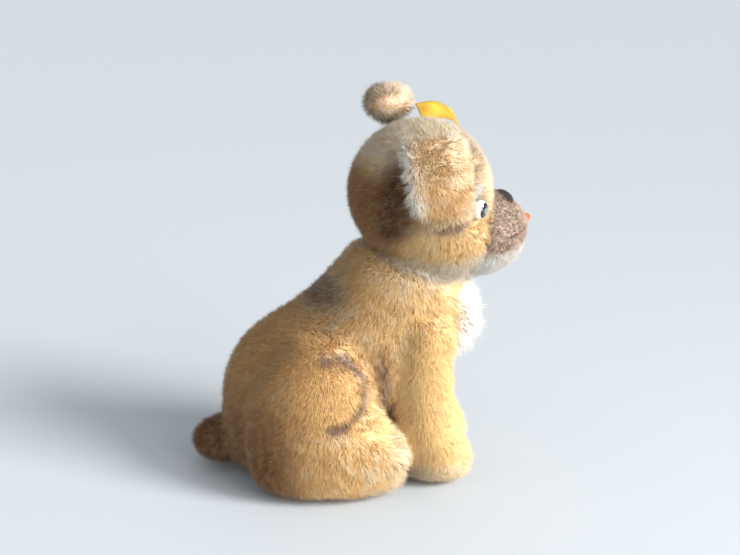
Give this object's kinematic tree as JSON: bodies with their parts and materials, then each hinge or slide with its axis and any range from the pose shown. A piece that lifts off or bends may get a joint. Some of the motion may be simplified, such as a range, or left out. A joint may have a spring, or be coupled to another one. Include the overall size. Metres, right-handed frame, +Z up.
{
  "type": "plush dog",
  "caption": "Seated plush puppy in golden mohair with a swivel head, one hanging and one upright ear, side-glancing glass eyes, felt tongue, white bib and stub tail.",
  "frame": {"origin": "middle of the flat seat under the rump, on the ground", "axes": "+X to the dog's front, +Y to its left, +Z up"},
  "size_m": [0.1501, 0.0914, 0.1668],
  "materials": {
    "golden_mohair": "mohair plush, pile about 5 mm, airbrushed brown in places",
    "white_mohair": "longer white mohair plush",
    "grey_beige_mohair": "short mohair plush, airbrushed",
    "ear_lining_plush": "short plush",
    "wood_wool": "packed wood wool",
    "joint_card": "pressed card",
    "joint_steel": "plain steel",
    "eye_white": "glossy white glass",
    "eye_black": "glossy black",
    "black_thread": "satin-stitched thread",
    "brown_thread": "thread",
    "orange_felt": "wool felt",
    "yellow_ribbon": "woven ribbon"
  },
  "bodies": {
    "body": {"belly_gusset": "golden_mohair", "body_joint_disc": "joint_card", "body_joint_washer": "joint_steel", "chest_bib": "white_mohair", "left_front_leg_cover": "golden_mohair", "left_front_leg_stuffing": "wood_wool", "left_hind_leg_cover": "golden_mohair", "left_hind_leg_stuffing": "wood_wool", "left_side_cover": "golden_mohair", "right_front_leg_cover": "golden_mohair", "right_front_leg_stuffing": "wood_wool", "right_hind_leg_cover": "golden_mohair", "right_hind_leg_stuffing": "wood_wool", "right_side_cover": "golden_mohair", "tail_cover": "golden_mohair", "tail_stuffing": "wood_wool", "trunk_stuffing": "wood_wool"},
    "head": {"left_head_cover": "golden_mohair", "right_head_cover": "golden_mohair", "head_gusset": "golden_mohair", "muzzle_cover": "grey_beige_mohair", "head_stuffing": "wood_wool", "head_joint_disc": "joint_card", "head_joint_washer": "joint_steel", "neck_cotter_pin": "joint_steel", "left_eye_dome": "eye_white", "right_eye_dome": "eye_white", "left_eye_pupil": "eye_black", "right_eye_pupil": "eye_black", "left_eye_shank": "joint_steel", "right_eye_shank": "joint_steel", "nose_stitching": "black_thread", "mouth_stitching": "brown_thread", "tongue": "orange_felt", "ribbon_tag": "yellow_ribbon"},
    "left_ear": {"left_ear_outer": "golden_mohair", "left_ear_lining": "ear_lining_plush"},
    "right_ear": {"right_ear_outer": "golden_mohair", "right_ear_lining": "ear_lining_plush"}
  },
  "joints": [
    {"name": "neck_swivel", "type": "hinge", "parent": "body", "child": "head", "pos_m": [0.0495, 0, 0.095], "axis": [0.3746, 0, 0.9272], "continuous": true},
    {"name": "right_ear_lift", "type": "hinge", "parent": "head", "child": "right_ear", "pos_m": [0.05588, -0.02122, 0.1513], "axis": [-0.9482, -0.3171, -0.0209], "range_deg": [0, 80], "stiffness_Nm_per_rad": 0.02},
    {"name": "left_ear_lean", "type": "hinge", "parent": "head", "child": "left_ear", "pos_m": [0.04014, 0.00998, 0.15267], "axis": [0.9482, 0.3171, 0.0209], "range_deg": [-25, 25], "stiffness_Nm_per_rad": 0.02}
  ]
}
